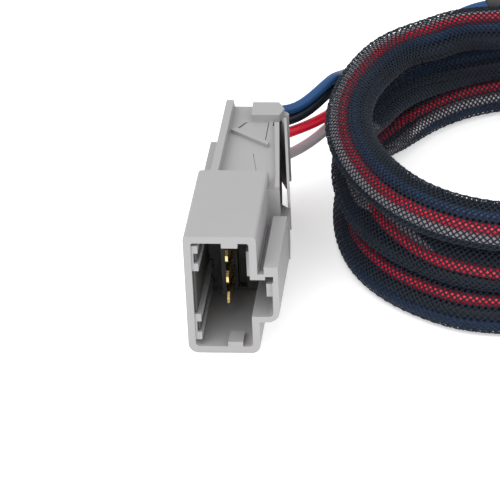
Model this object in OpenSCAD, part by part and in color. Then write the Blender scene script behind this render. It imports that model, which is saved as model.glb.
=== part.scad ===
// Trailer brake wiring adapter: a keyed power plug, a braided four-wire lead wound
// into an oval coil, and a flat latching socket for the brake controller.
// Millimetres. Origin at the middle of the plug's underside, +Z up, the plug's
// open mouth towards -Y. The plug and the coil rest on z = 0.

/* [Plug] */
// Width of the plug's hood, across the mouth
hood_w = 23.3; // [20:0.1:28]
// Height of the plug
hood_h = 42.5; // [38:0.5:52]
// Depth of the hood, from the mouth to the shoulder behind it
hood_depth = 45; // [40:1:56]
// Length of the body behind the shoulder
rear_l = 54; // [50:1:62]
// Wall thickness of the hood
hood_wall = 2.4; // [1.8:0.1:2.8]
// Thickness of the plug's partition, where the blades pass through
partition = 6; // [4:0.5:8]
// How far the latch channel stands out of the hood's side
channel_w = 6.6; // [5.5:0.1:9]
// Height of the latch channel
channel_h = 17.5; // [16:0.5:22]
// Depth of the latch channel
channel_depth = 34; // [26:1:38]

/* [Terminals] */
// Distance between neighbouring blades
pitch = 7.7; // [7.2:0.1:8.4]
// Width of a blade
blade_w = 4.75; // [4:0.05:5]
// Thickness of a blade
blade_t = 0.8; // [0.6:0.1:1.1]
// Length of a blade in front of the partition
blade_l = 23; // [16:1:24]
// Width of a terminal's box behind the partition
box_w = 5.2; // [4.6:0.1:5.4]
// Length of a terminal's box
box_l = 35.5; // [32:0.5:37]
// Length of a crimp barrel
crimp_l = 10; // [7:0.5:10]

/* [Wires and sleeve] */
// Outer diameter of each wire
wire_d = 3.7; // [3:0.1:3.8]
// Width of the braided sleeve over the four wires
sleeve_w = 16; // [14:0.5:18]
// Half the coil's left to right size, at the middle of the sleeve
coil_rx = 60; // [56:1:60]
// Half the coil's front to back size, at the middle of the sleeve
coil_ry = 79; // [76:1:79]
// Height of the three stacked turns
coil_h = 42; // [36:1:46]

/* [Socket] */
// Length of the controller socket
socket_l = 30; // [28:1:38]
// Distance between neighbouring ways of the socket
socket_pitch = 6; // [6:0.1:6.6]
// Height of the controller socket's body
socket_h = 12.5; // [11.5:0.5:15]
// Wall beside the outer ways of the socket
socket_wall = 2.4; // [2:0.1:3]

/* [Moving parts] */
// Running clearance around sliding and turning pieces
clear = 0.25; // [0.2:0.05:0.3]
// Play between a hinge pin and its bore
pin_play = 0.05; // [0.03:0.01:0.08]
// Radius of the side arm's round hinge root
arm_root_r = 1.5; // [1.3:0.1:1.6]
// Radius of the socket latch's hinge pin
latch_pin_r = 1; // [0.8:0.1:1.2]

/* [Hidden] */

grey = [0.74, 0.74, 0.74];
gold = [0.80, 0.66, 0.30];
tin = [0.72, 0.72, 0.70];
black = [0.06, 0.06, 0.07];
wire_colours = [[0.13, 0.31, 0.58], [0.05, 0.05, 0.06], [0.90, 0.10, 0.22], [0.86, 0.85, 0.88]];

// The plug, from the left front bottom corner of its hood
plug_w = hood_w + channel_w;
plug_l = hood_depth + rear_l;
cavity_l = hood_depth - partition;
deck_drop = 4;            // the rear deck lies this far below the top
deck_z = hood_h - deck_drop;
body_x = 4.2;               // left face of the narrower body behind the hood
shoulder_l = 30;            // length of the low shoulder on its left
block_x = 13.4;             // left front corner of the block on the deck
block_y = plug_l - 11.2;
block_h = 2.5;              // above the deck
seam_w = 0.25;
seat_play = 0.2;            // round a terminal in its cavity
channel_z = 11.5;           // the channel's underside
channel_wall = 2;
blade_x = hood_w / 2;
blade_mid_z = hood_h / 2 + 0.5;
blade_zs = [for (i = [1.5, 0.5, -0.5, -1.5]) blade_mid_z + i * pitch];
key_high_z = hood_h - 12.8;     // the upper pair of keys on the hood's left wall
liner_legs = [[hood_wall + 0.85, 7.55, 3.4], [hood_wall + 0.15, 14.1, key_high_z - 14.3],
              [hood_wall + 0.85, key_high_z + 2.9, 3.3]];     // X, underside and height
box_t = 5.2;                // a terminal box's size up and down
box_end = cavity_l + box_l;
crimp_end = box_end + crimp_l;
crimp_r = 2;
bore_r = wire_d / 2 + 0.25;

// The secondary lock, a lid with a comb that drops behind the terminal boxes
lock_x = blade_x + box_w / 2 - 0.4;     // the comb starts just behind the boxes' edge
lock_leg_t = 2;
lock_leg_w = 5;
lock_leg_y = box_end + 0.4;
lock_lid_t = 2.2;
lock_lid_back = plug_l - 11.8;
lock_front = [[7.2, lock_leg_y + 4.7], [20.7, lock_leg_y - 6.3]];   // its slanting front edge
lock_lid = [[12.2, lock_lid_back], lock_front[0] + [1.2, 0.6], lock_front[1] + [-1.5, 1.9],
            [lock_front[1][0] - 1.5, lock_lid_back]];
lock_rib_h = 1.2;
lock_tooth_h = 3.6;
lock_travel = pitch / 2;
lock_bottom = blade_zs[3] - lock_tooth_h / 2;

// The side arm, from its hinge root at the back to its free tip at the front, and the
// fixed rail inside it
body_right = hood_w - 2.5;  // right face of the body behind the hood
arm_root = [body_right + 1.9, plug_l - 5.5];
arm_neck_y = plug_l - 11;
arm_tip_y = channel_depth + 4.5;
arm_z = 13;
arm_top = hood_h - 2.5;
arm_neck_top = deck_z - 0.3;
arm_t = 0.9;
arm_outer = [[plug_w + 0.8, arm_tip_y], [plug_w - 1.5, arm_tip_y + 21.5], [body_right + 4.75, arm_neck_y - 2.6],
             [body_right + 4.4, arm_neck_y]];
arm_front = [[0, arm_top], [0, arm_top - 6], [1.5, arm_top - 8.5], [5, arm_top - 10.5],
             [14, arm_top - 14], [20, arm_z]];   // its slope, back from the tip
rail_back_y = plug_l - 14.4;
rail_in = [[body_right + 0.6, rail_back_y], [plug_w - 4.7, hood_depth + 3], [plug_w - 4.2, arm_tip_y]];
rail_out = [[plug_w - 2.6, arm_tip_y], [plug_w - 3.4, hood_depth + 3], [body_right + 2.3, rail_back_y]];
arm_ear_r = arm_root_r + 1.3;

// The socket, from the bottom middle of its back face, mouth towards +X
socket_w = 3 * socket_pitch + 2 * (2.2 + socket_wall);
socket_ys = [for (i = [1.5, 0.5, -0.5, -1.5]) i * socket_pitch];
socket_mid_z = socket_h / 2;
way = [4.4, 3.4];           // a socket terminal's width and height
latch_w = 9;
latch_gap = 0.4;            // from the latch's front to the mouth
latch_barrel_r = 1.4;       // the lever's thicker barrel on its pin
latch_x = 11;               // the latch's hinge pin, from the socket's back
latch_z = socket_h + 2.1;
ear_t = 2;
ear_r = 2.1;
mouth_play = 0.35;          // round a mating blade in its slot
lock_bar = [4, 3];          // the socket lock's length along X and its height
lock_bar_x = socket_l - 10;
lock_bar_z = 1.2;

// Routes in the part's frame. The wires leave the plug one above the other, swing
// round behind the coil and close up into a column at the sleeve's mouth
plug_wire_xy = [[-3.3, 35], [-3.3, 50], [-1.4, 53.2], [3.2, 56.6], [9.8, 60], [16.5, 66], [22.5, 75],
                [25, 84.5], [28.5, 94.5], [34, 105], [40.5, 114], [48, 122.5], [56, 128.9],
                [67.8, 135.8], [79, 139.5]];
plug_wire_z = [[33.3, 33.3, 33.2, 32.9, 32.3, 34, 36, 33, 30, 28, 27.5, 28.5, 30.5, 34.2, 35.6],
               [25.6, 25.6, 26.5, 27.9, 28.5, 30.1, 32.2, 29, 26, 24, 23.5, 24.6, 26.6, 30.3, 31.8],
               [17.9, 17.9, 19.6, 22.2, 23.7, 23.9, 23.6, 22, 20.2, 19.4, 19.2, 20.4, 22.6, 26.4, 28],
               [10.2, 10.2, 12, 13.9, 15.6, 17.4, 19.3, 18, 16.2, 15.4, 15.2, 16.4, 18.7, 22.5, 24.2]];
lead_in = [[79, 139.5, 30], [90, 141, 31], [101, 139.5, 33], [111, 135, 34.8], [119, 128, 36],
           [126, 119, 36]];
coil_centre = [93.5, 47.5];
lead_out = [[88, 126.5, 8], [97, 129, 8], [106, 133, 8], [113, 138, 8]];
socket_at = [130, 149.5];
socket_route = [[113, 138, 8], [119.5, 143.5, 7.8], [125, 147.5, 7], [130, 149.5, socket_mid_z],
                [134, 149.5, socket_mid_z]];
socket_spread = [1.9, 2, 2.5];   // half the gap between wires, up to the socket

// A unit vector along a list of points at point i
function along(p, i) =
    let (a = p[max(i - 1, 0)], b = p[min(i + 1, len(p) - 1)], d = b - a) d / norm(d);
function level_side(t) = let (s = [-t[1], t[0], 0]) s / norm(s);

// A closed tube swept along points p
module tube(p, d, sides) {
    n = len(p);
    rings = [for (i = [0 : n - 1])
        let (t = along(p, i), s = level_side(t), u = cross(t, s))
        for (k = [0 : sides - 1])
            let (a = 360 * (k + 0.5) / sides) p[i] + d / 2 * (cos(a) * s + sin(a) * u)];
    walls = [for (i = [0 : n - 2], k = [0 : sides - 1])
        let (m = (k + 1) % sides)
        [(i + 1) * sides + k, (i + 1) * sides + m, i * sides + m, i * sides + k]];
    first = [for (k = [0 : sides - 1]) k];
    last = [for (k = [sides - 1 : -1 : 0]) (n - 1) * sides + k];
    polyhedron(rings, concat(walls, [first, last]), convexity = 4);
}

// A rectangle with its lower left corner at the origin and its own corner radii
module soft_rect(w, h, low, high) {
    translate([low, 0]) square([w - 2 * low, h / 2]);
    translate([0, low]) square([w, h - low - high]);
    translate([high, h / 2]) square([w - 2 * high, h / 2]);
    for (x = [low, w - low]) translate([x, low]) circle(low, $fn = 48);
    for (x = [high, w - high]) translate([x, h - high]) circle(high, $fn = 48);
}

// Extrudes an XZ outline along +Y, from y for a length l
module along_y(y, l) {
    translate([0, y + l, 0]) rotate([90, 0, 0]) linear_extrude(l) children();
}

// Extrudes a YZ outline along +X, from x for a length l
module along_x(x, l) {
    translate([x, 0, 0]) rotate([90, 0, 90]) linear_extrude(l) children();
}

module in_plug() {
    translate([-plug_w / 2, -plug_l / 2, 0]) children();
}

module in_socket() {
    translate([socket_at[0], socket_at[1], 0]) children();
}

// ---- Plug ----

module hood_outside() {
    along_y(0, hood_depth) soft_rect(hood_w, hood_h, 3.2, 1.4);
    along_y(0, channel_depth)
        translate([hood_w / 2, channel_z]) soft_rect(plug_w - hood_w / 2, channel_h, 4, 1.2);
    // rail on top of the channel
    translate([hood_w + 2.1, 0, channel_z + channel_h - 1]) cube([channel_w - 2.1, channel_depth, 3.6]);
}

module hood_inside() {
    along_y(-1, cavity_l + 1)
        translate([hood_wall, hood_wall])
            soft_rect(hood_w - 2 * hood_wall, hood_h - 2 * hood_wall, 1.2, 0.8);
    // the channel's pocket, open into the hood
    along_y(-1, channel_depth - channel_wall + 1)
        translate([hood_w / 2, channel_z + channel_wall])
            soft_rect(plug_w - hood_w / 2 - channel_wall, channel_h - 2 * channel_wall, 1.5, 0.5);
    // slot for the mating latch, in the pocket's roof
    translate([hood_w + 2.4, -1, channel_z + channel_h - channel_wall - 1])
        cube([2.6, 12, 2.2]);
    // groove between the hood and the channel's rail
    translate([hood_w + 0.4, 2.5, channel_z + channel_h - 1.2]) cube([1.7, channel_depth, 6]);
}

module hood_keys() {
    rail_l = cavity_l - 1;
    for (z = [4.6, 11.2, key_high_z, key_high_z + 6.4])
        translate([hood_wall - 0.2, 0.6, z]) cube([2.3, rail_l, 2.7]);
    for (z = [6, key_high_z + 1.4])
        translate([hood_wall - 0.2, 0.6, z]) cube([0.9, rail_l, 6]);
    translate([hood_w / 2 + 0.5, 0, hood_h - hood_wall - 1.7]) cube([5.2, 10, 2]);
    translate([hood_w / 2 + 1.2, 0, hood_wall - 0.2]) cube([4.8, 7, 1.9]);
    // step on the pocket's outer wall
    translate([plug_w - channel_wall - 2, 1, channel_z + channel_h - 8.5])
        cube([2.2, channel_depth - 8, 4.6]);
    // upright rib on the hood's right wall, behind the mouth
    translate([hood_w - hood_wall - 1.6, 6, channel_z + channel_h - 4]) cube([1.8, 26, 9]);
}

module rear_body() {
    // low shoulder on the left, then the narrower main body
    translate([0.8, hood_depth - 1, 0]) cube([6, shoulder_l + 1, deck_z - 1.2]);
    translate([body_x, hood_depth - 1, 0]) cube([body_right - body_x, rear_l + 1, deck_z]);
    // long rail along the deck's left edge, its back end sloping down
    along_x(body_x, 2.5) polygon([[hood_depth - 1, deck_z - 1], [hood_depth - 1, hood_h],
        [plug_l - 3, hood_h], [plug_l, deck_z], [plug_l, deck_z - 1]]);
    // thick block across the deck's back right corner
    translate([0, 0, deck_z - 1]) linear_extrude(block_h + 1)
        polygon([[block_x, block_y], [block_x - 0.4, plug_l - 1.6], [body_right + 1.2, plug_l - 1.6],
                 [body_right + 3.4, plug_l - 6.5], [body_right + 2.1, block_y]]);
    // web and rail between the body and the side arm
    translate([0, 0, arm_z]) linear_extrude(deck_z - arm_z)
        polygon(concat([[body_right - 1, rail_back_y]], rail_in,
                       [[hood_w - 1, arm_tip_y], [hood_w - 1, hood_depth], [body_right - 1, hood_depth]]));
    translate([0, 0, arm_z]) linear_extrude(arm_top - arm_z) polygon(concat(rail_in, rail_out));
    // ledge under the side arm's raised front end
    translate([0, 0, arm_z]) linear_extrude(arm_top - 14.5 - arm_z)
        polygon([rail_out[0] - [1, 0], [plug_w, arm_tip_y], [plug_w - 1, arm_tip_y + 12],
                 rail_out[1] + [-1, 6]]);
    // ear that holds the side arm's root
    translate([body_right - 1, arm_root[1] - 1, arm_z])
        cube([2, plug_l - arm_root[1], arm_neck_top - arm_z]);
    translate([arm_root[0], arm_root[1], arm_z])
        cylinder(h = arm_neck_top - arm_z, r = arm_ear_r, $fn = 64);
}

module plug_housing() {
    color(grey) in_plug() difference() {
        union() {
            difference() {
                union() {
                    hood_outside();
                    rear_body();
                }
                hood_inside();
            }
            hood_keys();
        }
        // one cavity and one wire bore for each terminal
        for (z = blade_zs) {
            translate([blade_x - box_w / 2 - seat_play, cavity_l - 1, z - box_t / 2 - seat_play])
                cube([box_w + 2 * seat_play, box_l + 1 + seat_play, box_t + 2 * seat_play]);
            translate([blade_x, box_end - 1, z]) rotate([-90, 0, 0])
                cylinder(h = crimp_l + 1 + seat_play, r = crimp_r + seat_play, $fn = 48);
            translate([blade_x, crimp_end - 1, z]) rotate([-90, 0, 0])
                cylinder(h = plug_l, r = bore_r, $fn = 48);
        }
        // the secondary lock's lid and comb
        translate([0, 0, deck_z - lock_lid_t]) linear_extrude(lock_lid_t + 0.5)
            offset(delta = clear) polygon(lock_lid);
        translate([lock_x - clear, lock_leg_y - clear, lock_bottom - 0.6])
            cube([lock_leg_t + 2 * clear, lock_leg_w + 2 * clear, deck_z - lock_bottom + 2]);
        // groove along the lid's left edge
        translate([0, 0, deck_z - 0.9]) linear_extrude(1.2)
            polygon([lock_lid[0], lock_lid[0] - [0.9, 0], lock_lid[1] - [0.9, 0], lock_lid[1]]);
        // seam in the deck
        translate([16.1, hood_depth + 19.2, deck_z - seam_w]) rotate([0, 0, -80])
            cube([12.5, seam_w, 1]);
        // the side arm's round seat and the way out for the arm
        translate([arm_root[0], arm_root[1], arm_z - 1])
            cylinder(h = arm_neck_top - arm_z + 1.1, r = arm_root_r + pin_play, $fn = 64);
        translate([body_right - 0.2, rail_back_y + 0.3, arm_z - 1])
            cube([plug_w, arm_root[1] - rail_back_y - 1.1, arm_neck_top - arm_z + 1.1]);
    }
}

module blade_holder() {
    color([0.62, 0.62, 0.61]) in_plug() difference() {
        union() {
            translate([hood_wall + 2.6, cavity_l - 4, hood_wall + 1.2])
                cube([hood_w - 2 * hood_wall - 4.6, 4, hood_h - 2 * hood_wall - 2.4]);
            translate([blade_x - 3, cavity_l - 14, blade_zs[3] - pitch / 2 + 0.5])
                cube([1.6, 11, 4 * pitch - 1]);
            // legs along the hood's left wall, between its rails
            for (leg = liner_legs) {
                translate([leg[0], 1.5, leg[1]]) cube([0.75, cavity_l - 2, leg[2]]);
                translate([leg[0], cavity_l - 3, leg[1]]) cube([6 - leg[0], 2.5, leg[2]]);
            }
        }
        for (z = blade_zs)
            translate([blade_x - blade_t / 2 - 0.05, cavity_l - 5, z - blade_w / 2 - 0.05])
                cube([blade_t + 0.1, 7, blade_w + 0.1]);
        // relief slot beside the blades
        translate([blade_x + 1.2, cavity_l - 5, hood_wall + 2]) cube([2.8, 4, 3 * pitch + 8]);
    }
}

module secondary_lock() {
    color([0.76, 0.76, 0.76]) in_plug() {
        translate([0, 0, deck_z - lock_lid_t + 0.2]) linear_extrude(lock_lid_t - 0.2) polygon(lock_lid);
        // raised finger rib along the lid's slanting front edge
        translate([0, 0, deck_z + 0.05]) linear_extrude(lock_rib_h)
            polygon([lock_front[0], lock_front[1], lock_front[1] + [0, 2.3], lock_front[0] + [1.6, 1.6]]);
        translate([0, 0, deck_z - 0.5]) linear_extrude(1)
            polygon([lock_lid[1] + [0.3, 0.1], lock_lid[2] + [-0.3, 0.1], lock_lid[2] + [-0.3, 0.9],
                     lock_lid[1] + [0.9, 0.6]]);
        translate([lock_x, lock_leg_y, lock_bottom])
            cube([lock_leg_t - 1, lock_leg_w, deck_z - 1 - lock_bottom]);
        // the comb's back, and a tooth at each terminal
        translate([lock_x + lock_leg_t - 1, lock_leg_y + 2, lock_bottom])
            cube([1, lock_leg_w - 2, deck_z - 1 - lock_bottom]);
        for (z = blade_zs)
            translate([lock_x + 0.5, lock_leg_y, z - lock_tooth_h / 2])
                cube([lock_leg_t - 0.5, lock_leg_w, lock_tooth_h]);
    }
}

// The arm is a thin upright plate that flares from its root at the back to its free tip,
// where its front end slopes away
module side_arm() {
    far = arm_neck_y - arm_tip_y;
    color([0.72, 0.72, 0.72]) in_plug() {
        translate([arm_root[0], arm_root[1], arm_z])
            cylinder(h = arm_neck_top - arm_z, r = arm_root_r, $fn = 64);
        translate([0, 0, arm_z]) linear_extrude(arm_neck_top - arm_z)
            polygon([arm_outer[3] - [arm_t, 1], arm_outer[3] - [0.05, 1], [arm_root[0] + 0.9, arm_root[1]],
                     [arm_root[0] - 0.9, arm_root[1]]]);
        intersection() {
            translate([0, 0, arm_z]) linear_extrude(arm_top - arm_z)
                polygon(concat(arm_outer, [for (i = [3 : -1 : 0]) arm_outer[i] - [arm_t, 0]]));
            translate([0, arm_tip_y, 0]) along_x(body_right, plug_w)
                polygon(concat(arm_front, [[far, arm_z], [far, arm_top]]));
        }
    }
}

module blade_terminal(i) {
    z = blade_zs[i];
    tip = 1.6;
    color(gold) in_plug() {
        translate([blade_x - blade_t / 2, 0, 0]) rotate([90, 0, 90]) linear_extrude(blade_t)
            polygon([[cavity_l + 1, z - blade_w / 2], [cavity_l + 1, z + blade_w / 2],
                     [cavity_l - blade_l + tip, z + blade_w / 2], [cavity_l - blade_l, z + blade_w / 5],
                     [cavity_l - blade_l, z - blade_w / 5], [cavity_l - blade_l + tip, z - blade_w / 2]]);
        translate([blade_x - box_w / 2, cavity_l, z - box_t / 2]) cube([box_w, box_l, box_t]);
        translate([blade_x, box_end - 1, z]) rotate([-90, 0, 0])
            cylinder(h = crimp_l + 1, r = crimp_r, $fn = 48);
    }
}

// ---- Wires, sleeve and coil ----

module plug_wire(i) {
    color(wire_colours[i])
        tube([for (k = [0 : len(plug_wire_xy) - 1])
            [k < 2 ? blade_x - plug_w / 2 : plug_wire_xy[k][0],
             k == 0 ? crimp_end - plug_l / 2 : plug_wire_xy[k][1],
             k < 2 ? blade_zs[i] : plug_wire_z[i][k]]], wire_d, 8);
}

module socket_wire(i) {
    lane = 3 - 2 * i;
    color(wire_colours[i])
        tube([for (k = [0 : len(socket_route) - 1])
            let (s = level_side(along(socket_route, k)))
            socket_route[k] + (k < len(socket_spread) ? s * lane * socket_spread[k]
                                                      : [0, socket_ys[i], 0])], wire_d, 8);
}

module lead_in_sleeve() {
    color(black) tube(lead_in, 0.75 * sleeve_w, 12);
}

module lead_out_sleeve() {
    color(black) tube(lead_out, 0.75 * sleeve_w, 12);
}

// Shrink band over each mouth of the sleeve, slipped on a little way
module plug_end_band() {
    color(black) band(lead_in[0], lead_in[1]);
}

module socket_end_band() {
    color(black) band(lead_out[3], lead_out[2]);
}

module band(a, b) {
    t = (b - a) / norm(b - a);
    tube([a - 2 * t, a + 8 * t], 0.75 * sleeve_w + 1.6, 12);
}

module oval(rx, ry) {
    polygon([for (a = [0 : 5 : 355]) [rx * cos(a), ry * sin(a)]]);
}

module coil() {
    color([0.10, 0.11, 0.16]) translate([coil_centre[0], coil_centre[1], 0])
        linear_extrude(coil_h) difference() {
            oval(coil_rx + sleeve_w / 2, coil_ry + sleeve_w / 2);
            oval(coil_rx - sleeve_w / 2, coil_ry - sleeve_w / 2);
        }
}

// ---- Socket ----

module socket_housing() {
    color(black) in_socket() difference() {
        union() {
            along_x(0, socket_l) translate([-socket_w / 2, 0]) soft_rect(socket_w, socket_h, 1.2, 1.8);
            for (side = [-1, 1]) ear(side);
            // catch step in front of the latch
            translate([socket_l - 4, -latch_w / 2, socket_h - 0.5]) cube([3, latch_w, 1]);
        }
        for (y = socket_ys) {
            translate([5, y - way[0] / 2 - 0.1, socket_mid_z - way[1] / 2 - 0.1])
                cube([socket_l - 7, way[0] + 0.2, way[1] + 0.2]);
            translate([-1, y, socket_mid_z]) rotate([0, 90, 0]) cylinder(h = 7, r = bore_r, $fn = 48);
            // mouth for the mating blade
            translate([socket_l - 3, y - blade_w / 2 - mouth_play, socket_mid_z - blade_t / 2 - 0.3])
                cube([4, blade_w + 2 * mouth_play, blade_t + 0.6]);
        }
        // side entry of the terminal lock
        translate([lock_bar_x - clear, -socket_w / 2 + 2, lock_bar_z - clear])
            cube([lock_bar[0] + 2 * clear, socket_w, lock_bar[1] + 2 * clear]);
    }
}

module ear(side) {
    translate([latch_x, side * (latch_w / 2 + clear + ear_t / 2), 0]) difference() {
        union() {
            translate([0, ear_t / 2, latch_z]) rotate([90, 0, 0]) cylinder(h = ear_t, r = ear_r, $fn = 48);
            translate([-ear_r, -ear_t / 2, socket_h - 0.5])
                cube([2 * ear_r, ear_t, latch_z - socket_h + 0.5]);
        }
        translate([0, ear_t, latch_z]) rotate([90, 0, 0])
            cylinder(h = 2 * ear_t, r = latch_pin_r + pin_play, $fn = 48);
    }
}

module socket_latch() {
    pin_l = latch_w + 2 * (clear + ear_t);
    front = socket_l - latch_gap;
    color([0.08, 0.08, 0.09]) in_socket() {
        translate([latch_x, pin_l / 2, latch_z]) rotate([90, 0, 0])
            cylinder(h = pin_l, r = latch_pin_r, $fn = 48);
        translate([latch_x, latch_w / 2, latch_z]) rotate([90, 0, 0])
            cylinder(h = latch_w, r = latch_barrel_r, $fn = 48);
        // lever with a thumb pad at the back and a hook at the front
        along_y(-latch_w / 2, latch_w) translate([0, latch_z])
            polygon([[1, 0.8], [1, 3], [2.4, 3], [3.2, 1.6], [latch_x, 1.1], [front - 0.2, 0.9],
                     [front, -1.3], [front - 0.5, -1.3], [front - 1.7, -0.8], [latch_x, -0.8]]);
    }
}

module socket_terminal_lock() {
    color([0.55, 0.10, 0.10]) in_socket() {
        translate([lock_bar_x, -socket_w / 2 + 2 + clear, lock_bar_z])
            cube([lock_bar[0], socket_w - 2 - clear, lock_bar[1]]);
        // pull tab outside the wall
        translate([lock_bar_x - 1, socket_w / 2 + clear, lock_bar_z - 0.6])
            cube([lock_bar[0] + 2, 1.4, lock_bar[1] + 1.4]);
        translate([lock_bar_x, socket_w / 2 - 1, lock_bar_z]) cube([lock_bar[0], 2, lock_bar[1]]);
    }
}

module socket_terminal(i) {
    color(tin) in_socket() translate([0, socket_ys[i], socket_mid_z]) difference() {
        union() {
            translate([6, -way[0] / 2, -0.4]) cube([socket_l - 9.2, way[0], way[1] / 2 + 0.4]);
            translate([4, 0, 0]) rotate([0, 90, 0]) cylinder(h = 2.5, r = wire_d / 2, $fn = 48);
        }
        translate([socket_l - 12, -way[0] / 2 + 0.4, -0.2]) cube([12, way[0] - 0.8, 1.2]);
    }
}

plug_housing();
blade_holder();
secondary_lock();
side_arm();
blade_terminal(0);  // blade_terminal_blue
blade_terminal(1);  // blade_terminal_black
blade_terminal(2);  // blade_terminal_red
blade_terminal(3);  // blade_terminal_white
plug_wire(0);  // plug_wire_blue
plug_wire(1);  // plug_wire_black
plug_wire(2);  // plug_wire_red
plug_wire(3);  // plug_wire_white
plug_end_band();
lead_in_sleeve();
coil();
lead_out_sleeve();
socket_end_band();
socket_wire(0);  // socket_wire_blue
socket_wire(1);  // socket_wire_black
socket_wire(2);  // socket_wire_red
socket_wire(3);  // socket_wire_white
socket_housing();
socket_latch();
socket_terminal_lock();
socket_terminal(0);  // socket_terminal_blue
socket_terminal(1);  // socket_terminal_black
socket_terminal(2);  // socket_terminal_red
socket_terminal(3);  // socket_terminal_white
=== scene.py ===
import math

import bmesh
import bpy
import numpy as np
from mathutils import Matrix, Vector


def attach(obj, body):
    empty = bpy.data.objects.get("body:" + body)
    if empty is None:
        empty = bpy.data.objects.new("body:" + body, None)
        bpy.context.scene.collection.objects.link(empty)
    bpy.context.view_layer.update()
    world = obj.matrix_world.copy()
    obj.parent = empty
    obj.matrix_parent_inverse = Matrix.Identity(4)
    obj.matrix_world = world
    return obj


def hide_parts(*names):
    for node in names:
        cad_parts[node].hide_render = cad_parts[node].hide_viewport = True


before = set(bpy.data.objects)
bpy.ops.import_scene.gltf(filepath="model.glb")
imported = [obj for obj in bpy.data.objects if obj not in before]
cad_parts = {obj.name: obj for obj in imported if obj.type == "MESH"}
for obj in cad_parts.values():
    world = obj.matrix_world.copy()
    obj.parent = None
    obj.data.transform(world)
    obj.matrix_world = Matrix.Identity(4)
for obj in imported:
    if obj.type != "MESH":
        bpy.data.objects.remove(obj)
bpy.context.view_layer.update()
MM = 0.001

# ---------------------------------------------------------------- camera
CAMERA_AZIMUTH = 6.94     # degrees, towards the side with the latch channel
CAMERA_ELEVATION = 29.12
CAMERA_ROLL = -2.8
CAMERA_DISTANCE = 1.0974  # metres, from the point it looks at
CAMERA_AIM = (0.0063, -0.0485, 0.0374)
CAMERA_LENS = 250.0       # millimetres, on a sensor of this width:
CAMERA_SENSOR = 36.0
CAMERA_CLIP = (0.05, 20.0)


def make_camera():
    """The camera, turned about its own axis by the roll."""
    a, e, r = map(math.radians, (CAMERA_AZIMUTH, CAMERA_ELEVATION, CAMERA_ROLL))
    back = Vector((math.sin(a) * math.cos(e), -math.cos(a) * math.cos(e), math.sin(e)))
    right = Vector((math.cos(a), math.sin(a), 0.0))
    up = back.cross(right)
    right_r = right * math.cos(r) + up * math.sin(r)
    up_r = up * math.cos(r) - right * math.sin(r)
    cam = bpy.data.objects.new("camera", bpy.data.cameras.new("camera"))
    cam.data.lens = CAMERA_LENS
    cam.data.sensor_width = CAMERA_SENSOR
    cam.data.clip_start, cam.data.clip_end = CAMERA_CLIP
    cam.matrix_world = Matrix(
        [
            [right_r.x, up_r.x, back.x, 0],
            [right_r.y, up_r.y, back.y, 0],
            [right_r.z, up_r.z, back.z, 0],
            [0, 0, 0, 1],
        ]
    )
    cam.location = Vector(CAMERA_AIM) + back * CAMERA_DISTANCE
    bpy.context.collection.objects.link(cam)
    bpy.context.scene.camera = cam


make_camera()

# ---------------------------------------------------------------- routes, in millimetres
# The bare wires from the plug to the sleeve share one plan and differ in height.
PLUG_WIRE_XY = [
    (-3.3, 35), (-3.3, 50), (-1.4, 53.2), (3.2, 56.6), (9.8, 60), (16.5, 66), (22.5, 75),
    (25, 84.5), (28.5, 94.5), (34, 105), (40.5, 114), (48, 122.5), (56, 128.9), (67.8, 135.8),
]
PLUG_WIRE_Z = {
    "blue": [33.3, 33.3, 33.2, 32.9, 32.3, 34, 36, 33, 30, 28, 27.5, 28.5, 30.5, 34.2],
    "black": [25.6, 25.6, 26.5, 27.9, 28.5, 30.1, 32.2, 29, 26, 24, 23.5, 24.6, 26.6, 30.3],
    "red": [17.9, 17.9, 19.6, 22.2, 23.7, 23.9, 23.6, 22, 20.2, 19.4, 19.2, 20.4, 22.6, 26.4],
    "white": [10.2, 10.2, 12, 13.9, 15.6, 17.4, 19.3, 18, 16.2, 15.4, 15.2, 16.4, 18.7, 22.5],
}
LEAD_IN = [(79, 139.5, 30), (85, 140.6, 30.4)]
LEAD_OUT = [(98, 129.5, 8), (106, 133, 8), (113, 138, 8)]
LEAD_OUT_SHARE = [0.25, 0.7, 1.0]  # how far the wires have moved to their places in the mouth
SOCKET_ROUTE = [(119.5, 143.5, 7.8), (125, 147.5, 7), (130, 149.5, 6.25), (134, 149.5, 6.25)]
SOCKET_SPREAD = [2, 2.5]           # half the wires' spacing at the route's first points
SOCKET_PITCH = 6
COIL_CENTRE = (93.5, 47.5)
COIL_RX, COIL_RY = 60, 79          # half the coil's middle line, across and along
WIRES = ["blue", "black", "red", "white"]
WIRE_D = 3.7
SLEEVE_A, SLEEVE_B = 7.9, 4.2      # half the sleeve's width and thickness
SLOT = 3.8                         # from one wire to the next in the sleeve
FACE_HALF, EDGE_R = 3.7, 1.9       # the wires' track: a flat run each way, then a half turn
SINK_IN = 1.6                      # how much more a sunk wire goes in than across
COURSE_STEP, WIRE_STEP = 5.0, 2.0  # between the points that steer a wire, and along it
BRAID_STEP, PATH_STEP = 1.0, 4.0   # along the braid, and along the sleeve's stated path
ANGLE_STEP = 6.0                   # degrees, between points of the coil's line
WIRE_SIDES = 14

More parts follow.
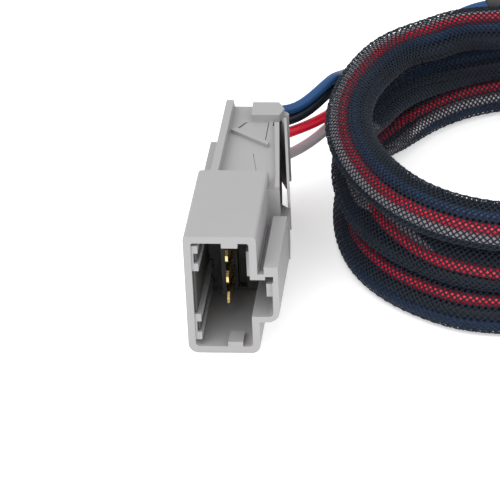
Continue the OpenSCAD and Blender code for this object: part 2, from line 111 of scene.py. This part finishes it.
# The sleeve at angles run clockwise from the coil's back: 90 is the right, 180 the
# front and 270 the left. The columns are the height of its middle, how far it lies
# outside the coil's middle line, its lean, and for each wire the place around the
# sleeve and how far it sinks into it. Places 1.5 to -1.5 run across the face that
# looks up and out, from the inner edge to the outer one, and places past them are
# round the edge; 7.04 is once round.
STATIONS = [
    (-3, 31.3, 13, -88, (-1.5, 0), (-0.5, 0), (0.5, 0), (8.53, 0)),
    (50, 36, 0, -20, (-0.4, 0), (-1.4, 0.3), (0.6, 0), (7.3, 0.9)),
    (180, 37, 0, 50, (0.6, 0), (-2.8, 0), (-0.5, 0), (5.4, 0.2)),
    (225, 37, 0.8, 40, (0.6, 0), (-3.0, 0), (-0.5, 0), (5.4, 0.2)),
    (270, 37.3, 2.7, 12, (0.6, 0), (-5.4, 0), (-0.4, 0), (5.6, 0.1)),
    (303, 37, 2.5, -15, (0.45, 0), (-5.5, 0), (-0.55, 0), (5.4, 0.1)),
    (325, 36.5, -2, -32, (0.3, 0), (-5.6, 0), (-0.7, 0), (5.2, 0.1)),
    (350, 36, -7, -40, (0.2, 0), (-5.6, 0), (-0.8, 0), (5.1, 0.1)),
    (450, 24, 0, 0, (-0.8, 0), (-4.0, 0), (-0.5, 0.9), (4.4, 0)),
    (540, 22, 0, 60, (-2.6, 0), (-1.6, 0), (-0.6, 0), (3.6, 0)),
    (570, 22, 1, 60, (-2.5, 0), (-1.5, 0), (-0.4, 0), (3.4, 0)),
    (588, 22, 2, 57, (-2.2, 0), (-1.2, 0), (0.3, 0), (1.9, 0.6)),
    (603, 22, 2.3, 55, (-1.9, 0), (-0.9, 0), (1.4, 0), (0.2, 0)),
    (630, 22, 2.5, 48, (-1.8, 0), (-0.8, 0), (1.4, 0), (0.3, 0)),
    (655, 21.7, 1.8, 0, (-0.5, 0), (0.6, 0), (4.6, 0), (3.6, 0)),
    (702, 21.5, 0, -60, (-0.3, 0), (0.8, 0), (4.6, 0), (3.6, 0)),
    (810, 10, 0, 0, (-0.8, 0), (0.25, 0), (1.8, 0), (3.6, 0)),
    (900, 8, 1.8, 62, (-1.6, 0), (-0.5, 0), (0.6, 0), (3.4, 0)),
    (925, 8, 4.2, 62, (-1.6, 0), (-0.5, 0), (0.6, 0), (3.4, 0)),
    (950, 8, 5, 62, (-1.6, 0), (-0.5, 0), (0.6, 0), (3.4, 0)),
    (990, 8, 3, 62, (-1.5, 0), (-0.4, 0), (0.7, 0), (3.4, 0)),
    (1040, 8.5, 0, -62, (-5.13, 0), (-4.03, 0), (-0.35, 0), (0.75, 0)),
    (1076, 8.2, 0, -62, (-5.13, 0), (-4.03, 0), (-0.35, 0), (0.75, 0)),
]
# lean and places at the end of the sleeve that the socket's wires leave
MOUTH_OUT = (-2, (-1.5, 0), (-0.5, 0), (0.5, 0), (1.5, 0))


def spline(points, values, at):
    """Natural cubic curve through values at points, read at the places in at."""
    x, y = np.asarray(points, float), np.asarray(values, float)
    n = len(x)
    h = np.diff(x)
    m = np.zeros((n, n))
    rhs = np.zeros((n,) + y.shape[1:])
    m[0, 0] = m[-1, -1] = 1
    for i in range(1, n - 1):
        m[i, i - 1 : i + 2] = h[i - 1], 2 * (h[i - 1] + h[i]), h[i]
        rhs[i] = 6 * ((y[i + 1] - y[i]) / h[i] - (y[i] - y[i - 1]) / h[i - 1])
    c = np.linalg.solve(m, rhs)
    k = np.clip(np.searchsorted(x, at, side="right") - 1, 0, n - 2)
    column = (slice(None),) + (None,) * (y.ndim - 1)
    hk, u, v = h[k][column], (at - x[k])[column], (x[k + 1] - at)[column]
    return (
        c[k] * v**3 / (6 * hk)
        + c[k + 1] * u**3 / (6 * hk)
        + (y[k] / hk - c[k] * hk / 6) * v
        + (y[k + 1] / hk - c[k + 1] * hk / 6) * u
    )


def lengths(line):
    """How far along a line of points each of them is."""
    return np.concatenate([[0], np.cumsum(np.linalg.norm(np.diff(line, axis=0), axis=1))])


def smooth(points, step):
    """Points every step along a smooth curve through points."""
    p = np.asarray(points, float)
    fine = spline(lengths(p), p, np.linspace(0, lengths(p)[-1], 12 * len(p)))
    s = lengths(fine)
    count = int(round(s[-1] / step)) + 1
    at = np.linspace(0, s[-1], count)
    return np.stack([np.interp(at, s, fine[:, i]) for i in range(3)], 1)


def ease(x):
    """A share from 0 to 1 that starts and stops gently."""
    x = np.clip(x, 0, 1)
    return x * x * (3 - 2 * x)


def flat_list(pairs):
    return [v for pair in pairs for v in pair]


def sleeve_line():
    """The sleeve's middle line with, at each point, its lean and each wire's place."""
    angles = np.array([row[0] for row in STATIONS], float)
    rows = np.array([list(row[1:4]) + flat_list(row[4:]) for row in STATIONS])
    run = np.arange(angles[0], angles[-1] + 0.1, ANGLE_STEP)
    k = np.clip(np.searchsorted(angles, run, side="right") - 1, 0, len(angles) - 2)
    share = ease((run - angles[k]) / (angles[k + 1] - angles[k]))[:, None]
    values = rows[k] + (rows[k + 1] - rows[k]) * share
    t = np.radians(90 - run)
    coil = np.stack(
        [
            COIL_CENTRE[0] + (COIL_RX + values[:, 1]) * np.cos(t),
            COIL_CENTRE[1] + (COIL_RY + values[:, 1]) * np.sin(t),
            values[:, 0],
        ],
        1,
    )
    end = values[-1, 2:]
    first = np.repeat(values[:1, 2:], len(LEAD_IN), axis=0)
    mouth = np.array([MOUTH_OUT[0]] + flat_list(MOUTH_OUT[1:]))
    last = end + (mouth - end) * np.array(LEAD_OUT_SHARE)[:, None]
    settings = np.concatenate([first, values[:, 2:], last])
    points = np.concatenate([LEAD_IN, coil, LEAD_OUT])
    return points, settings[:, 0], settings[:, 1:]


def frames(line, lean):
    """Tangent, face normal and width direction at each point of a line."""
    t = np.gradient(line, axis=0)
    t /= np.linalg.norm(t, axis=1)[:, None]
    side = np.stack([-t[:, 1], t[:, 0], np.zeros(len(t))], 1)
    side /= np.linalg.norm(side, axis=1)[:, None]
    up = np.cross(t, side)
    up *= np.sign(up[:, 2])[:, None]
    a = np.radians(lean)[:, None]
    return t, np.sin(a) * side + np.cos(a) * up, -np.cos(a) * side + np.sin(a) * up


def round_the_row(place, sink):
    """Across and out offsets in millimetres of a wire at a place round the sleeve."""
    loop = 4 * FACE_HALF + 2 * math.pi * EDGE_R
    q = (place * SLOT + loop / 2) % loop - loop / 2
    a = np.clip((np.abs(q) - FACE_HALF) / EDGE_R, 0, math.pi)
    back = np.maximum(np.abs(q) - FACE_HALF - math.pi * EDGE_R, 0)
    across = np.sign(q) * (np.minimum(np.abs(q), FACE_HALF) + EDGE_R * np.sin(a) - back)
    return across * (1 - sink), EDGE_R * np.cos(a) * (1 - SINK_IN * sink)


def tube_mesh(name, line, radius, sides):
    """A round tube along a line of points, in metres."""
    _, n, w = frames(line, np.zeros(len(line)))
    angle = 2 * math.pi * np.arange(sides) / sides
    ring = np.cos(angle)[None, :, None] * w[:, None] + np.sin(angle)[None, :, None] * n[:, None]
    return mesh_of_rings(name, line[:, None] + radius * ring)


def ring_quads(spans, sides):
    """The faces between rings of points that follow one another."""
    i, k = np.meshgrid(np.arange(spans), np.arange(sides), indexing="ij")
    m = (k + 1) % sides
    quads = np.stack([i * sides + k, i * sides + m, (i + 1) * sides + m, (i + 1) * sides + k], -1)
    return quads.reshape(-1, 4)


def mesh_of_rings(name, verts, caps=True):
    """A smooth piece through rings of points, in metres."""
    n, sides, _ = verts.shape
    faces = ring_quads(n - 1, sides)
    mesh = bpy.data.meshes.new(name)
    ends = [list(range(sides))[::-1], [(n - 1) * sides + j for j in range(sides)]] if caps else []
    mesh.from_pydata(verts.reshape(-1, 3).tolist(), [], faces.tolist() + ends)
    mesh.update()
    mesh.polygons.foreach_set("use_smooth", [True] * len(mesh.polygons))
    piece = bpy.data.objects.new(name, mesh)
    bpy.context.collection.objects.link(piece)
    bm = bmesh.new()
    bm.from_mesh(mesh)
    bmesh.ops.recalc_face_normals(bm, faces=bm.faces)
    bm.to_mesh(mesh)
    bm.free()
    return piece


def sleeve_course(step):
    """The sleeve's line every step, with its lean and the wires' places there."""
    points, lean, places = sleeve_line()
    s = lengths(points)
    line = smooth(points, step)
    at = np.linspace(0, s[-1], len(line))
    places_at = np.stack([np.interp(at, s, places[:, i]) for i in range(8)], 1)
    return line, spline(s, lean, at), places_at


def socket_end(lane):
    """A wire's route from the sleeve to the socket, off the middle one by its lane."""
    route = np.array(SOCKET_ROUTE, float)
    t = np.gradient(route, axis=0)
    t /= np.linalg.norm(t[:, :2], axis=1)[:, None]
    loose = len(SOCKET_SPREAD)
    spread = np.array(SOCKET_SPREAD) * lane
    route[:loose, 0] -= t[:loose, 1] * spread
    route[:loose, 1] += t[:loose, 0] * spread
    route[loose:, 1] += lane * SOCKET_PITCH / 2
    return route


def make_wires():
    """The four wires, each whole from the plug to the socket, with their paths."""
    line, lean, places = sleeve_course(COURSE_STEP)
    _, n, w = frames(line, lean)
    made = {}
    for i, colour in enumerate(WIRES):
        across, out = round_the_row(places[:, 2 * i], places[:, 2 * i + 1])
        inside = line + across[:, None] * w + out[:, None] * n
        near = [(x, y, z) for (x, y), z in zip(PLUG_WIRE_XY, PLUG_WIRE_Z[colour])]
        far = socket_end(len(WIRES) - 1 - 2 * i)
        path = smooth(np.concatenate([near, inside[1:-1], far]), WIRE_STEP) * MM
        tube = tube_mesh("lead_wire_" + colour, path, WIRE_D / 2 * MM, WIRE_SIDES)
        made[colour] = (tube, path)
    return made


# ---------------------------------------------------------------- sleeve and bands
STRANDS = 20                 # in each direction round the sleeve
STRAND_W, STRAND_T = 0.6, 0.24
WEAVE = 0.17                 # how far a strand rises and falls at the crossings
# half width and thickness of the dark sheet inside the sleeve, painted shade for its hollow
# middle
SHADE_SHEET_HALF_W, SHADE_SHEET_HALF_T = 7.2, 0.02
OVAL_POWER = 0.8             # 1 would be an ellipse
OVAL_POINTS = 721            # where the oval's length is measured

# Along a band from the sleeve's mouth, minus being out over the bare wires: how far
# it stands off the sleeve, and how far it is drawn in from the sleeve's size.
BAND = [
    (-3.0, -1.2, 0.9),
    (-5.5, -0.5, 1),
    (-5.0, -0.1, 1),
    (-3.5, 0.1, 0.8),
    (-1.5, 0.4, 0.35),
    (0.5, 0.75, 0.05),
    (3.0, 0.8, 0),
    (6.0, 0.8, 0),
    (9.0, 0.8, 0),
    (10.5, 0.7, 0),
    (11.0, 0.4, 0),
    (8.0, -0.2, 0),
]
BAND_DRAWN_W, BAND_DRAWN_T = 0.2, 1.9   # off its half width and thickness where drawn in
BAND_SIDES = 48


def squarish(angle):
    """Points of an oval that is fuller at its corners than an ellipse."""
    c, s = np.cos(angle), np.sin(angle)
    return np.sign(c) * abs(c) ** OVAL_POWER, np.sign(s) * abs(s) ** OVAL_POWER


def make_sleeve():
    """The open braid: flat strands that wind both ways and pass over and under."""
    line, lean, _ = sleeve_course(BRAID_STEP)
    total = lengths(line)[-1]
    fine = np.linspace(0, 2 * math.pi, OVAL_POINTS)
    oval = np.stack(squarish(fine), 1) * (SLEEVE_A, SLEEVE_B)
    along = lengths(oval)
    half = along[-1] / STRANDS / 2    # along the sleeve from one crossing to the next
    steps = int(total / half) * 2
    at = np.linspace(0, total, steps + 1)
    s = lengths(line)
    centre = np.stack([np.interp(at, s, line[:, i]) for i in range(3)], 1)
    lean_at = np.interp(at, s, lean)
    _, n, w = frames(centre, lean_at)
    crossing = np.arange(steps + 1) / 2.0
    verts_all, faces_all, base = [], [], 0
    for way in (1, -1):
        for j in range(STRANDS):
            q = (j + way * crossing / 2) / STRANDS * along[-1] % along[-1]
            a = np.interp(q, along, fine)
            ca, sa = squarish(a)
            outward = np.stack(
                [ca * abs(ca) ** 0.5 / SLEEVE_A, sa * abs(sa) ** 0.5 / SLEEVE_B], 1
            )
            outward /= np.linalg.norm(outward, axis=1)[:, None]
            rise = WEAVE * way * np.cos(math.pi * (crossing + j))
            normal = outward[:, :1] * w + outward[:, 1:] * n
            middle = centre + (SLEEVE_A * ca)[:, None] * w + (SLEEVE_B * sa)[:, None] * n
            middle = middle + rise[:, None] * normal
            run = np.gradient(middle, axis=0)
            run /= np.linalg.norm(run, axis=1)[:, None]
            side = np.cross(run, normal)
            ring = np.stack(
                [
                    middle - side * STRAND_W / 2 - normal * STRAND_T / 3,
                    middle + normal * STRAND_T * 2 / 3,
                    middle + side * STRAND_W / 2 - normal * STRAND_T / 3,
                ],
                1,
            )
            verts_all.append(ring.reshape(-1, 3))
            faces_all.append(ring_quads(steps, 3) + base)
            base += len(ring) * 3
    # dark sheet down the middle, between the wires on one face and those on the other: painted
    # shade for the sleeve's hollow inside
    corners = ((-1, -1), (-1, 1), (1, 1), (1, -1))
    shade_sheet = np.stack(
        [centre + w * (SHADE_SHEET_HALF_W * a) + n * (SHADE_SHEET_HALF_T * b) for a, b in corners], 1
    )
    verts_all.append(shade_sheet.reshape(-1, 3))
    faces_all.append(ring_quads(steps, 4) + base)
    verts = np.concatenate(verts_all) * MM
    faces = np.concatenate(faces_all)
    mesh = bpy.data.meshes.new("braided_sleeve")
    mesh.vertices.add(len(verts))
    mesh.vertices.foreach_set("co", verts.ravel())
    mesh.loops.add(faces.size)
    mesh.loops.foreach_set("vertex_index", faces.ravel())
    mesh.polygons.add(len(faces))
    mesh.polygons.foreach_set("loop_start", np.arange(0, faces.size, 4))
    mesh.polygons.foreach_set("use_smooth", np.ones(len(faces), bool))
    mesh.update(calc_edges=True)
    mesh.validate()
    piece = bpy.data.objects.new("braided_sleeve", mesh)
    bpy.context.collection.objects.link(piece)
    return piece, smooth(sleeve_line()[0], PATH_STEP) * MM


def make_band(name, at_end):
    """Shrink band over a mouth of the sleeve, drawn in over the bare wires."""
    line, lean, _ = sleeve_course(BRAID_STEP)
    if at_end:
        line, lean = line[::-1], lean[::-1]
    s = lengths(line)
    start = (line[0] - line[1]) / s[1]
    at, off, drawn_in = np.array(BAND, float).T
    centre = np.stack([np.interp(at, s, line[:, i]) for i in range(3)], 1)
    centre = centre + np.clip(-at, 0, None)[:, None] * start
    _, n, w = frames(line, lean)
    n = np.stack([np.interp(at, s, n[:, i]) for i in range(3)], 1)
    w = np.stack([np.interp(at, s, w[:, i]) for i in range(3)], 1)
    angle = 2 * math.pi * np.arange(BAND_SIDES) / BAND_SIDES
    half_w = (SLEEVE_A + off - BAND_DRAWN_W * drawn_in)[:, None, None]
    half_t = (SLEEVE_B + off - BAND_DRAWN_T * drawn_in)[:, None, None]
    ring = half_w * np.cos(angle)[None, :, None] * w[:, None]
    ring = ring + half_t * np.sin(angle)[None, :, None] * n[:, None]
    return mesh_of_rings(name, (centre[:, None] + ring) * MM, caps=False)


# ---------------------------------------------------------------- materials
CLOUD_SCALE, CLOUD_DETAIL = 60.0, 4.0     # slow changes of tone
GRAIN_DETAIL, GRAIN_STRENGTH = 3.0, 0.25  # the fine texture
TONE_AT = (0.3, 0.7)                      # where the darker and lighter tones are reached


def plastic(name, colour, rough, grain=0.15, spread=0.03, specular=0.5, scale=900.0, bump=0.02):
    """Moulded plastic: a fine texture in the surface and slight changes of tone."""
    mat = bpy.data.materials.new(name)
    mat.use_nodes = True
    nodes, links = mat.node_tree.nodes, mat.node_tree.links
    shader = nodes["Principled BSDF"]
    shader.inputs["Specular IOR Level"].default_value = specular
    place = nodes.new("ShaderNodeTexCoord")
    cloud = nodes.new("ShaderNodeTexNoise")
    cloud.inputs["Scale"].default_value = CLOUD_SCALE
    cloud.inputs["Detail"].default_value = CLOUD_DETAIL
    links.new(place.outputs["Object"], cloud.inputs["Vector"])
    tone = nodes.new("ShaderNodeValToRGB")
    for stop, where, share in zip(tone.color_ramp.elements, TONE_AT, (1 - spread, 1 + spread)):
        stop.color = (*[min(c * share, 1) for c in colour], 1)
        stop.position = where
    links.new(cloud.outputs["Fac"], tone.inputs["Fac"])
    links.new(tone.outputs["Color"], shader.inputs["Base Color"])
    fine = nodes.new("ShaderNodeTexNoise")
    fine.inputs["Scale"].default_value = scale
    fine.inputs["Detail"].default_value = GRAIN_DETAIL
    links.new(place.outputs["Object"], fine.inputs["Vector"])
    gloss = nodes.new("ShaderNodeMapRange")
    gloss.inputs["To Min"].default_value = rough - grain / 2
    gloss.inputs["To Max"].default_value = rough + grain / 2
    links.new(fine.outputs["Fac"], gloss.inputs["Value"])
    links.new(gloss.outputs["Result"], shader.inputs["Roughness"])
    relief = nodes.new("ShaderNodeBump")
    relief.inputs["Strength"].default_value = GRAIN_STRENGTH
    relief.inputs["Distance"].default_value = bump * MM
    links.new(fine.outputs["Fac"], relief.inputs["Height"])
    links.new(relief.outputs["Normal"], shader.inputs["Normal"])
    return mat


def metal(name, colour, rough):
    """Plated metal with a finer, shallower texture."""
    mat = plastic(name, colour, rough, 0.12, 0.08, scale=1400.0, bump=0.01)
    mat.node_tree.nodes["Principled BSDF"].inputs["Metallic"].default_value = 1.0
    return mat


MATERIALS = {
    "grey": plastic("moulded_grey", (0.31, 0.305, 0.31), 0.5, 0.12, 0.015, 0.4),
    # near-black: partly the insert's own darker grey, partly painted shade for the shaded inside
    # of the hood; the holder's liner legs along the hood's wall are dark pieces where there is
    # only shade
    "insert_shade": plastic("insert_with_painted_shade", (0.05, 0.052, 0.05), 0.6),
    "gold": metal("gold_plate", (0.83, 0.62, 0.26), 0.28),
    "tin": metal("tin_plate", (0.62, 0.62, 0.60), 0.35),
    "blue": plastic("insulation_blue", (0.012, 0.056, 0.16), 0.45, 0.1, 0.1, 0.3),
    "black": plastic("insulation_black", (0.006, 0.011, 0.019), 0.45, 0.1, 0.1, 0.3),
    "red": plastic("insulation_red", (0.84, 0.006, 0.035), 0.38, 0.1, 0.05),
    "white": plastic("insulation_white", (0.50, 0.47, 0.50), 0.45, 0.1, 0.03, 0.3),
    "braid": plastic("braid_strand", (0.007, 0.012, 0.022), 0.5, 0.12, 0.2, 0.25),
    "shrink": plastic("shrink_tube", (0.013, 0.013, 0.014), 0.55, 0.15, 0.1),
    "dark": plastic("moulded_black", (0.014, 0.014, 0.015), 0.45, 0.12, 0.1),
    "lock_red": plastic("moulded_red", (0.42, 0.015, 0.012), 0.42, 0.1, 0.05),
}


def paint(piece, key):
    """Gives a piece one of the materials above and no other."""
    piece.data.materials.clear()
    piece.data.materials.append(MATERIALS[key])


# ---------------------------------------------------------------- cords
wires = make_wires()
sleeve, sleeve_path = make_sleeve()
paint(sleeve, "braid")
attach(sleeve, "harness")
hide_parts("lead_in_sleeve", "coil", "lead_out_sleeve")
for node, at_end in (("plug_end_band", False), ("socket_end_band", True)):
    band = make_band("shrink_" + node, at_end)
    paint(band, "shrink")
    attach(band, "harness")
    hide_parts(node)
SOCKET_PIECES = ["socket_housing", "socket_latch", "socket_terminal_lock"]
SOCKET_PIECES += ["socket_terminal_" + c for c in WIRES]
for colour, (piece, path) in wires.items():
    paint(piece, colour)
    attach(piece, "harness")
    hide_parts("plug_wire_" + colour, "socket_wire_" + colour)
    print("wire", colour, "length", round(float(lengths(path)[-1]), 4))
print("sleeve length", round(float(lengths(sleeve_path)[-1]), 4))

# ---------------------------------------------------------------- CAD nodes
CAD_LOOKS = {
    "plug_housing": "grey",
    "secondary_lock": "grey",
    "side_arm": "grey",
    # the blade holder and its liner legs carry painted shade for the hood's dark inside
    "blade_holder": "insert_shade",
    "socket_housing": "dark",
    "socket_latch": "dark",
    "socket_terminal_lock": "lock_red",
}
CAD_LOOKS.update({"blade_terminal_" + c: "gold" for c in WIRES})
CAD_LOOKS.update({"socket_terminal_" + c: "tin" for c in WIRES})
SOFT_EDGES = {               # the width of each moulded piece's rounded edges
    "plug_housing": 0.35,
    "secondary_lock": 0.3,
    "side_arm": 0.3,
    "socket_housing": 0.4,
    "socket_latch": 0.3,
    "socket_terminal_lock": 0.25,
    "blade_holder": 0.15,
}
WELD_DISTANCE = 0.000002     # metres
FLAT_ANGLE = 0.5             # degrees: faces within this are taken as one
EDGE_ANGLE = 35              # degrees: edges sharper than this are rounded


def soften(piece, width):
    """Rounds a piece's sharp edges."""
    weld = piece.modifiers.new("weld", "WELD")
    weld.merge_threshold = WELD_DISTANCE
    flat = piece.modifiers.new("flat_faces", "DECIMATE")
    flat.decimate_type = "DISSOLVE"
    flat.angle_limit = math.radians(FLAT_ANGLE)
    edge = piece.modifiers.new("soft_edges", "BEVEL")
    edge.width = width
    edge.segments = 3
    edge.limit_method = "ANGLE"
    edge.angle_limit = math.radians(EDGE_ANGLE)
    edge.harden_normals = True


for node, key in CAD_LOOKS.items():
    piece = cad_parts[node]
    paint(piece, key)
    if node in SOFT_EDGES:
        soften(piece, SOFT_EDGES[node] * MM)


# ---------------------------------------------------------------- floor and light
FLOOR_HALF, FLOOR_DROP = 3.0, 0.0002
LAMP_AIM = (0.03, 0.02, 0.02)


def make_floor():
    """A white floor just under the part."""
    mesh = bpy.data.meshes.new("floor")
    r = FLOOR_HALF
    mesh.from_pydata([(-r, -r, 0), (r, -r, 0), (r, r, 0), (-r, r, 0)], [], [(0, 1, 2, 3)])
    floor = bpy.data.objects.new("floor", mesh)
    floor.location.z = -FLOOR_DROP
    bpy.context.collection.objects.link(floor)
    mat = bpy.data.materials.new("floor")
    mat.use_nodes = True
    shader = mat.node_tree.nodes["Principled BSDF"]
    shader.inputs["Base Color"].default_value = (0.9, 0.9, 0.9, 1)
    shader.inputs["Roughness"].default_value = 0.9
    shader.inputs["Emission Color"].default_value = (1, 1, 1, 1)
    shader.inputs["Emission Strength"].default_value = 0.4
    mesh.materials.append(mat)


def lamp(name, at, size, power):
    """A square white lamp turned to the part."""
    data = bpy.data.lights.new(name, "AREA")
    data.shape = "SQUARE"
    data.size = size
    data.energy = power
    light = bpy.data.objects.new(name, data)
    light.location = at
    light.rotation_euler = (Vector(LAMP_AIM) - Vector(at)).to_track_quat("-Z", "Y").to_euler()
    bpy.context.collection.objects.link(light)


def make_light():
    """An even white surround and two soft lamps."""
    world = bpy.data.worlds.new("world")
    world.use_nodes = True
    background = world.node_tree.nodes["Background"]
    background.inputs["Color"].default_value = (1, 1, 1, 1)
    background.inputs["Strength"].default_value = 0.9
    bpy.context.scene.world = world
    lamp("key", (-0.5, -0.7, 1.1), 1.2, 13)
    lamp("fill", (0.9, -0.5, 0.7), 1.0, 5)
    bpy.context.scene.view_settings.view_transform = "Standard"


make_floor()
make_light()
